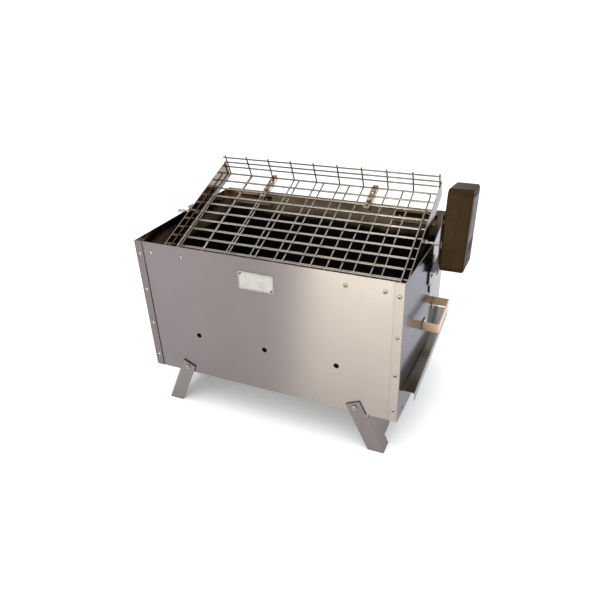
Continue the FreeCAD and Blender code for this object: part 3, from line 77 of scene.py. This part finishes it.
SHADE_AND_GRIME = (0.035, 0.026, 0.018)         # painted shade and grime, in corners and round the heads of rivets
HEAT_TINT = (0.44, 0.33, 0.22)        # sheet near the rim, on the fire side
# Painted shade: the colour the basket wires darken to towards the top.
WIRE_TOP_SHADE = (0.07, 0.057, 0.048)
SOOT_DARK = (0.004, 0.003, 0.0025)
SOOT_LIGHT = (0.022, 0.017, 0.012)
SOOT_DEPTHS = (0.015, 0.055)          # soot begins and is full this far below the rim
SOOT_WANDER = 0.05                    # how far the edge of the soot wanders up and down
SLOT_STEP = (0.004, 0.012)            # the tray is clean up to here inside the end panel, and sooty from here
WIRE_SHADE_HEIGHTS = (0.355, 0.405)        # painted shade: basket wires darken between these heights
SPREAD = 0.98                         # how far across its grain a brushed face spreads its reflections
FLANGE_ROUGHER = 0.20


# ---------------------------------------------------------------- node helpers

class Shader:
    """A material under construction. Patterns are in object coordinates, in metres; a socket's value is
    either a constant or another node's output."""

    def __init__(self, name):
        self.material = bpy.data.materials.new(name)
        self.material.use_nodes = True
        self.tree = self.material.node_tree
        self.surface = self.tree.nodes["Principled BSDF"]
        self.coordinates = self.tree.nodes.new("ShaderNodeTexCoord")

    def put(self, socket, value):
        """Links a socket, or sets it to a constant."""
        if isinstance(value, bpy.types.NodeSocket):
            self.tree.links.new(value, socket)
        else:
            socket.default_value = value

    def set(self, **values):
        """Sets inputs of the surface by name, with _ for a space."""
        for name, value in values.items():
            self.put(self.surface.inputs[name.replace("_", " ")], value)

    def place(self, scale=(1, 1, 1), turn=(0, 0, 0)):
        """Object coordinates, turned and then stretched."""
        node = self.tree.nodes.new("ShaderNodeMapping")
        self.put(node.inputs["Vector"], self.coordinates.outputs["Object"])
        node.inputs["Rotation"].default_value = turn
        node.inputs["Scale"].default_value = scale
        return node.outputs["Vector"]

    def noise(self, scale, detail=3.0, rough=0.55, where=None):
        """Cloudy noise from 0 to 1; scale is about how often it repeats in a metre."""
        node = self.tree.nodes.new("ShaderNodeTexNoise")
        self.put(node.inputs["Vector"], where or self.coordinates.outputs["Object"])
        node.inputs["Scale"].default_value = scale
        node.inputs["Detail"].default_value = detail
        node.inputs["Roughness"].default_value = rough
        return node.outputs["Fac"]

    def spots(self, scale):
        """Round cells: 0 in the middle of each, rising to its edge."""
        node = self.tree.nodes.new("ShaderNodeTexVoronoi")
        self.put(node.inputs["Vector"], self.coordinates.outputs["Object"])
        node.inputs["Scale"].default_value = scale
        return node.outputs["Distance"]

    def ramp(self, value, low, high, start=0.0, end=1.0):
        """A value between low and high moved to between start and end, and held there."""
        node = self.tree.nodes.new("ShaderNodeMapRange")
        self.put(node.inputs["Value"], value)
        node.inputs["From Min"].default_value = low
        node.inputs["From Max"].default_value = high
        node.inputs["To Min"].default_value = start
        node.inputs["To Max"].default_value = end
        return node.outputs["Result"]

    def math(self, kind, first, second=0.0):
        node = self.tree.nodes.new("ShaderNodeMath")
        node.operation = kind
        self.put(node.inputs[0], first)
        self.put(node.inputs[1], second)
        return node.outputs["Value"]

    def mix(self, amount, first, second):
        """The first colour at 0, the second at 1."""
        node = self.tree.nodes.new("ShaderNodeMix")
        node.data_type = "RGBA"
        self.put(node.inputs["Factor"], amount)
        for socket, colour in zip((node.inputs[6], node.inputs[7]), (first, second)):
            self.put(socket, colour if isinstance(colour, bpy.types.NodeSocket) else (*colour, 1))
        return node.outputs[2]

    def bump(self, height, distance, strength):
        """Relief; distance is how far a height of 1 rises, in metres."""
        node = self.tree.nodes.new("ShaderNodeBump")
        node.inputs["Strength"].default_value = strength
        node.inputs["Distance"].default_value = distance
        self.put(node.inputs["Height"], height)
        return node.outputs["Normal"]

    def axis(self, name, source="Object"):
        node = self.tree.nodes.new("ShaderNodeSeparateXYZ")
        self.put(node.inputs["Vector"], self.coordinates.outputs[source])
        return node.outputs[name]

    def crevice(self, reach, full=0.45):
        """0 on open surface and 1 in corners where no more than the given share of the sky is left."""
        node = self.tree.nodes.new("ShaderNodeAmbientOcclusion")
        node.inputs["Distance"].default_value = reach
        node.samples = 8
        return self.ramp(node.outputs["AO"], OPEN_SKY, full)

    def constant_direction(self, direction):
        node = self.tree.nodes.new("ShaderNodeCombineXYZ")
        for socket, value in zip(node.inputs, direction):
            socket.default_value = value
        return node.outputs["Vector"]

    def facing_inwards(self, middle):
        """1 on faces that look towards a point of the object, 0 on faces that look away."""
        shift = self.tree.nodes.new("ShaderNodeVectorMath")
        shift.operation = "SUBTRACT"
        self.put(shift.inputs[0], self.coordinates.outputs["Object"])
        shift.inputs[1].default_value = middle
        dot = self.tree.nodes.new("ShaderNodeVectorMath")
        dot.operation = "DOT_PRODUCT"
        self.put(dot.inputs[0], shift.outputs["Vector"])
        self.put(dot.inputs[1], self.coordinates.outputs["Normal"])
        return self.ramp(dot.outputs["Value"], 0.02, -0.02)


# ---------------------------------------------------------------- materials

def fire_side(shader):
    """1 on the faces of a wall that look into the firebox."""
    return shader.facing_inwards(BOX_MIDDLE)


def inside_firebox(shader):
    """1 on the loose sheets as far as they lie inside the end panel."""
    clean, sooty = SLOT_STEP
    return shader.ramp(shader.axis("X"), END_X - clean, END_X - sooty)


def add_soot(shader, colour, rough, inside):
    """Sheet inside the firebox turns brown near the rim and sooty black below it."""
    burnt = shader.noise(9.0, detail=5.0, rough=0.6)
    below_rim = shader.math("SUBTRACT", FRONT_HIGH.z, shader.axis("Z"))
    wander = shader.math("MULTIPLY", shader.math("SUBTRACT", burnt, 0.5), SOOT_WANDER)
    depth = shader.math("ADD", below_rim, wander)
    black = shader.math("MULTIPLY", inside, shader.ramp(depth, *SOOT_DEPTHS))
    soot = shader.mix(shader.ramp(burnt, 0.45, 0.8), SOOT_DARK, SOOT_LIGHT)
    colour = shader.mix(black, shader.mix(inside, colour, HEAT_TINT), soot)
    shader.set(Metallic=shader.ramp(black, 0.0, 1.0, start=1.0, end=0.2),
               Specular_IOR_Level=shader.ramp(black, 0.0, 1.0, start=0.5, end=0.08))
    return colour, shader.math("ADD", rough, shader.math("MULTIPLY", black, 0.35))


def spread_on_flanges(shader, colour, rough, flange):
    """The faces that look to the front or back get the flange colour and spread their reflections upright."""
    turned = shader.ramp(shader.math("ABSOLUTE", shader.axis("Y", "Normal")), 0.4, 0.8)
    shader.set(Anisotropic=shader.math("MULTIPLY", turned, SPREAD), Tangent=shader.constant_direction(UP))
    rough = shader.math("ADD", rough, shader.math("MULTIPLY", turned, FLANGE_ROUGHER))
    return shader.mix(turned, colour, flange), rough


def sheet_colour(shader, light, dark, grain, streaks):
    """Faint streaks along the grain, cloudy stains, and painted shade with grime in the corners."""
    fine = shader.noise(1.0, detail=2.0, rough=0.6, where=shader.place(scale=grain))
    cloud = shader.noise(5.0, detail=4.0, rough=0.6)
    smear = shader.noise(14.0, detail=3.0, rough=0.5)
    stain = shader.math("MULTIPLY", shader.ramp(cloud, 0.38, 0.68), shader.ramp(smear, 0.30, 0.75))
    tone = shader.math("ADD", shader.math("MULTIPLY", shader.ramp(fine, 0.3, 0.7), streaks),
                       shader.math("MULTIPLY", stain, 0.5))
    colour = shader.mix(shader.ramp(tone, 0.0, 1.0), light, dark)
    # Painted shade: the colour darkens, with some grime, where the corners hide the sky.
    grime = shader.math("MULTIPLY", shader.crevice(0.004), 0.85)
    return shader.mix(grime, colour, SHADE_AND_GRIME), smear


def brushed_sheet(name, light, dark, grain, gloss, waves=0.0012, streaks=0.35, soot=None, spread=False,
                  flange=None, edge=1.0):
    """Rolled sheet steel with soft waves. A sheet may be sooty in one part, spread its reflections upright,
    or do so on its flanges alone; edge is how strongly it mirrors at a glancing angle."""
    shader = Shader(name)
    colour, smear = sheet_colour(shader, light, dark, grain, streaks)
    rough = shader.ramp(smear, 0.2, 0.85, start=gloss, end=gloss + 0.07)
    shader.set(Metallic=1.0, Specular_Tint=(edge, edge, edge * 1.06, 1))
    if spread:
        shader.set(Anisotropic=SPREAD, Tangent=shader.constant_direction(UP))
    if flange:
        colour, rough = spread_on_flanges(shader, colour, rough, flange)
    if soot:
        colour, rough = add_soot(shader, colour, rough, soot(shader))
    wave = shader.noise(3.2, detail=1.0, rough=0.4)
    shader.set(Base_Color=colour, Roughness=rough, Normal=shader.bump(wave, waves, 0.6))
    return shader.material


def drawn_wire(name, light, dark, gloss):
    """Bright plated wire with fine specks, dull patches and brownish heat marks, and painted shade that
    darkens it towards the top of the basket's back."""
    shader = Shader(name)
    patches = shader.noise(24.0, detail=4.0, rough=0.6)
    specks = shader.noise(420.0, detail=3.0, rough=0.6)
    heat = shader.math("MULTIPLY", shader.ramp(patches, 0.5, 0.75), 0.8)
    colour = shader.mix(heat, light, dark)
    # Painted shade: the wires darken towards the top.
    high = shader.ramp(shader.axis("Z"), *WIRE_SHADE_HEIGHTS, end=0.85)
    colour = shader.mix(high, colour, WIRE_TOP_SHADE)
    rough = shader.math("ADD", shader.ramp(specks, 0.3, 0.7, start=gloss, end=gloss + 0.16),
                        shader.ramp(patches, 0.4, 0.8, end=0.15))
    normal = shader.bump(specks, 0.00003, 0.6)
    shader.set(Base_Color=colour, Metallic=1.0, Roughness=rough, Normal=normal)
    return shader.material


def cast_spotted(name, light, dark, gloss, metal=1.0, full=0.45):
    """A small plated, painted or turned piece: mottled in colour and gloss, with fine tooling marks and
    painted shade with grime where no more than a share full of the sky is left."""
    shader = Shader(name)
    mottle = shader.noise(160.0, detail=4.0, rough=0.6)
    wear = shader.noise(32.0, detail=3.0, rough=0.6)
    colour = shader.mix(shader.ramp(wear, 0.35, 0.7), light, dark)
    # Painted shade: the colour darkens, with some grime, in hollows and round heads where the sky is hidden.
    colour = shader.mix(shader.crevice(0.003, full), colour, SHADE_AND_GRIME)
    rough = shader.ramp(mottle, 0.3, 0.7, start=gloss, end=gloss + 0.2)
    normal = shader.bump(mottle, 0.00005, 0.7)
    shader.set(Base_Color=colour, Metallic=metal, Roughness=rough, Normal=normal)
    return shader.material


def moulded_plastic(name, light, dark, gloss, grain=1500.0, depth=0.00006, shine=0.5):
    """Injection-moulded plastic with a spark-eroded grain, handling shine and dusty patches."""
    shader = Shader(name)
    pits = shader.spots(grain)
    mottle = shader.noise(grain * 0.4, detail=3.0, rough=0.6)
    rubbed = shader.noise(14.0, detail=4.0, rough=0.6)
    dust = shader.noise(60.0, detail=5.0, rough=0.7)
    colour = shader.mix(shader.ramp(dust, 0.45, 0.8, end=0.7), light, dark)
    rough = shader.math("ADD", shader.ramp(rubbed, 0.35, 0.7, start=gloss - 0.08, end=gloss + 0.1),
                        shader.ramp(mottle, 0.3, 0.7, start=-0.05, end=0.05))
    height = shader.math("ADD", pits, shader.math("MULTIPLY", mottle, 0.5))
    normal = shader.bump(height, depth, 0.8)
    shader.set(Base_Color=colour, Metallic=0.0, Roughness=rough, Normal=normal, Specular_IOR_Level=shine)
    return shader.material


def border_line(shader, node, margin, width):
    """1 on a line of the given width that runs round a flat upright node at a margin from its edge."""
    low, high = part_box(node)
    past = []
    for name, near, far in (("X", low.x, high.x), ("Z", low.z, high.z)):
        from_middle = shader.math("SUBTRACT", shader.axis(name), (near + far) / 2)
        past.append(shader.math("SUBTRACT", shader.math("ABSOLUTE", from_middle), (far - near) / 2 - margin))
    from_line = shader.math("ABSOLUTE", shader.math("MAXIMUM", *past))
    return shader.math("LESS_THAN", from_line, width / 2)


def enamel_plate(name):
    """A blank white enamelled plate with a dark line near its edge and a few scratches."""
    shader = Shader(name)
    border = border_line(shader, "information_plate", margin=0.0018, width=0.0007)
    slanted = shader.place(scale=(60, 60, 900), turn=(0, 0.5, 0))
    scratches = shader.noise(1.0, detail=5.0, rough=0.7, where=slanted)
    grime = shader.noise(70.0, detail=5.0, rough=0.65)
    paint = shader.mix(shader.ramp(grime, 0.5, 0.8), (0.29, 0.275, 0.27), (0.21, 0.19, 0.17))
    colour = shader.mix(border, paint, (0.05, 0.045, 0.04))
    rough = shader.ramp(scratches, 0.35, 0.7, start=0.25, end=0.45)
    normal = shader.bump(scratches, 0.00003, 0.5)
    shader.set(Base_Color=colour, Metallic=0.0, Roughness=rough, Normal=normal)
    return shader.material


# One material for each slot: its name, its colour where light and where dark, and how rough it is.
MATERIALS = {
    "brushed_panel": brushed_sheet(
        "steel_front", (0.200, 0.174, 0.172), (0.158, 0.137, 0.138), LENGTHWAYS, gloss=0.27,
        streaks=0.15, soot=fire_side, spread=True),
    "polished_panel": brushed_sheet(
        "steel_ends", (0.29, 0.287, 0.30), (0.24, 0.23, 0.24), ACROSS, gloss=0.11,
        waves=0.0006, streaks=0.2, soot=fire_side, edge=0.56, flange=(0.185, 0.160, 0.157)),
    "dull_sheet": brushed_sheet(
        "steel_dull", (0.26, 0.25, 0.215), (0.165, 0.156, 0.13), LENGTHWAYS, gloss=0.17,
        streaks=0.1, soot=inside_firebox, edge=0.7),
    "strip_steel": brushed_sheet(
        "steel_strip", (0.215, 0.187, 0.185), (0.16, 0.137, 0.137), UPRIGHT, gloss=0.26, waves=0.0004),
    "handle_steel": brushed_sheet(
        "steel_handle", (0.62, 0.44, 0.29), (0.42, 0.29, 0.18), UPRIGHT, gloss=0.28, waves=0.0004),
    "basket_plate_steel": brushed_sheet(
        "steel_basket", (0.34, 0.29, 0.245), (0.16, 0.125, 0.095), ACROSS, gloss=0.08,
        waves=0.0003, edge=0.7),
    "latch_steel": brushed_sheet(
        "steel_latch", (0.40, 0.31, 0.215), (0.09, 0.06, 0.04), ACROSS, gloss=0.12, waves=0.0003),
    # Painted shade: the rivets darken more widely round their heads and in their holes.
    "rivet_metal": cast_spotted(
        "rivet_metal", (0.34, 0.32, 0.29), (0.24, 0.22, 0.19), gloss=0.30, full=0.72),
    "zinc_fastener": cast_spotted("zinc_plate", (0.44, 0.42, 0.38), (0.30, 0.27, 0.23), gloss=0.28),
    "bright_wire": drawn_wire("bright_wire", (0.40, 0.365, 0.325), (0.14, 0.11, 0.085), gloss=0.15),
    "plate_finish": enamel_plate("plate_enamel"),
    "black_housing": moulded_plastic(
        "housing_plastic", (0.023, 0.012, 0.003), (0.034, 0.021, 0.009), gloss=0.5, shine=0.04),
    "label_grey": moulded_plastic(
        "label_film", (0.045, 0.039, 0.042), (0.066, 0.058, 0.061), gloss=0.34,
        grain=2600.0, depth=0.00002, shine=0.06),
    "mount_steel": cast_spotted(
        "mount_paint", (0.035, 0.033, 0.032), (0.07, 0.065, 0.06), gloss=0.45, metal=0.0),
    "gear_plastic": moulded_plastic(
        "gear_nylon", (0.72, 0.69, 0.60), (0.60, 0.56, 0.47), gloss=0.42, grain=900.0, depth=0.00003),
    "motor_can": cast_spotted("motor_can", (0.58, 0.58, 0.57), (0.44, 0.43, 0.41), gloss=0.25),
    "cell_jacket": moulded_plastic(
        "cell_jacket", (0.03, 0.07, 0.20), (0.05, 0.09, 0.22), gloss=0.3, grain=1200.0, depth=0.00002),
    "contact_brass": cast_spotted("contact_brass", (0.70, 0.52, 0.24), (0.50, 0.36, 0.17), gloss=0.25),
    "switch_plastic": moulded_plastic(
        "switch_plastic", (0.018, 0.018, 0.018), (0.03, 0.03, 0.03), gloss=0.42),
}


def dress_nodes():
    """Every node of the frame takes the material of its slot."""
    for row in frame["record"]["subparts"]:
        mesh = NODES[row["node"]].data
        mesh.materials.clear()
        mesh.materials.append(MATERIALS[row["material_slot"]])


# ---------------------------------------------------------------- weld beads

BEAD_RADIUS = 0.0024
BEAD_FLATNESS = 0.7                   # beads are this much shorter along the wire
BEAD_LUMPS = 0.25                     # how far the lumps change the radius
WIRE_REACH = 0.006                    # vertices closer than this belong to one wire


def middles_of_clusters(points, reach):
    """Groups points that lie within reach of each other's first point, and returns each group's middle."""
    groups = []
    for point in points:
        for group in groups:
            if (point - group[0]).length < reach:
                group.append(point)
                break
        else:
            groups.append([point])
    middles = []
    for group in groups:
        low = [min(point[axis] for point in group) for axis in range(3)]
        high = [max(point[axis] for point in group) for axis in range(3)]
        middles.append((Vector(low) + Vector(high)) / 2)
    return middles


def add_bead(work, place, number, side):
    """One lumpy bead; its number and side vary the lumps."""
    bead = bmesh.ops.create_icosphere(work, subdivisions=3, radius=BEAD_RADIUS)
    for vertex in bead["verts"]:
        direction = vertex.co.normalized()
        lump = noise.noise(direction * 2.1 + Vector((number * 3.7, side * 5.1, 0)))
        offset = direction * BEAD_RADIUS * (1.0 + BEAD_LUMPS * lump)
        vertex.co = place + Vector((offset.x * BEAD_FLATNESS, offset.y, offset.z))


def add_weld_beads(name, plate, wires, side):
    """A bead where each wire meets the inner face of an end plate; side is 1 at the left, -1 at the right."""
    low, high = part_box(plate)
    face_x = high.x if side > 0 else low.x
    flat = [Vector((0.0, vertex.co.y, vertex.co.z)) for vertex in NODES[wires].data.vertices]
    work = bmesh.new()
    for number, middle in enumerate(middles_of_clusters(flat, WIRE_REACH)):
        add_bead(work, Vector((face_x, middle.y, middle.z)), number, side)
    mesh = bpy.data.meshes.new(name)
    work.to_mesh(mesh)
    work.free()
    for polygon in mesh.polygons:
        polygon.use_smooth = True
    mesh.materials.append(MATERIALS["bright_wire"])
    beads = bpy.data.objects.new(name, mesh)
    bpy.context.scene.collection.objects.link(beads)
    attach(beads, "basket")


# ---------------------------------------------------------------- studio

CAMERA_PLACE = (0.3843, -0.8678, 0.7089)
CAMERA_AZIMUTH = math.radians(22.59)
CAMERA_ELEVATION = math.radians(28.6)
CAMERA_ROLL = math.radians(-1.16)
CAMERA_LENS = 32.26                   # mm, on a sensor this wide
CAMERA_SENSOR = 36.0
CAMERA_SHIFT = (-0.0324, -0.0047)


def add_camera():
    data = bpy.data.cameras.new("camera")
    data.lens = CAMERA_LENS
    data.sensor_width = CAMERA_SENSOR
    data.shift_x, data.shift_y = CAMERA_SHIFT
    camera = bpy.data.objects.new("camera", data)
    bpy.context.scene.collection.objects.link(camera)
    turn = (Matrix.Rotation(CAMERA_AZIMUTH, 4, "Z")
            @ Matrix.Rotation(math.pi / 2 - CAMERA_ELEVATION, 4, "X")
            @ Matrix.Rotation(CAMERA_ROLL, 4, "Z"))
    camera.matrix_world = Matrix.Translation(CAMERA_PLACE) @ turn
    bpy.context.scene.camera = camera


# Each light: its name, place, width and height, power in watts, and colour.
LIGHTS = [
    ("warm_front", (-0.20, -1.90, 0.24), (0.8, 0.3), 23, (0.97, 1.0, 0.80)),
    ("cool_side", (-1.28, -1.69, 0.68), (0.5, 0.5), 3, (0.86, 0.86, 1.0)),
    ("top", (0.3, -0.6, 2.6), (2.4, 2.0), 24, (1.0, 1.0, 1.0)),
]
WORLD_STRENGTH = 1.08
FLOOR_REACH = 12.0
FLOOR_GLOW = 0.15


def add_light(name, place, size, power, colour):
    """An area light aimed at the middle of the firebox."""
    data = bpy.data.lights.new(name, "AREA")
    data.shape = "RECTANGLE"
    data.size, data.size_y = size
    data.energy = power
    data.color = colour
    light = bpy.data.objects.new(name, data)
    bpy.context.scene.collection.objects.link(light)
    aim = (BOX_MIDDLE - Vector(place)).to_track_quat("-Z", "Y")
    light.matrix_world = Matrix.Translation(place) @ aim.to_matrix().to_4x4()


def add_floor():
    mesh = bpy.data.meshes.new("floor")
    work = bmesh.new()
    bmesh.ops.create_grid(work, x_segments=2, y_segments=2, size=FLOOR_REACH)
    work.to_mesh(mesh)
    work.free()
    floor = bpy.data.objects.new("floor", mesh)
    floor.location.z = GROUND
    bpy.context.scene.collection.objects.link(floor)
    shader = Shader("floor_paper")
    shade = shader.mix(shader.noise(3.0), (0.93, 0.945, 0.965), (0.95, 0.96, 0.975))
    shader.set(Base_Color=shade, Roughness=0.7, Emission_Color=(1.0, 1.0, 1.0, 1),
               Emission_Strength=FLOOR_GLOW)
    mesh.materials.append(shader.material)


def add_world():
    world = bpy.data.worlds.new("studio")
    world.use_nodes = True
    background = world.node_tree.nodes["Background"]
    background.inputs["Color"].default_value = (1.0, 1.0, 1.0, 1)
    background.inputs["Strength"].default_value = WORLD_STRENGTH
    bpy.context.scene.world = world


def add_studio():
    add_floor()
    add_world()
    add_camera()
    for light in LIGHTS:
        add_light(*light)


dress_nodes()
add_weld_beads("weld_beads_left", "left_basket_plate", "basket_floor_wires", 1)
add_weld_beads("weld_beads_right", "right_basket_plate", "basket_floor_wires", -1)
add_studio()
bpy.context.scene.view_settings.view_transform = "Standard"
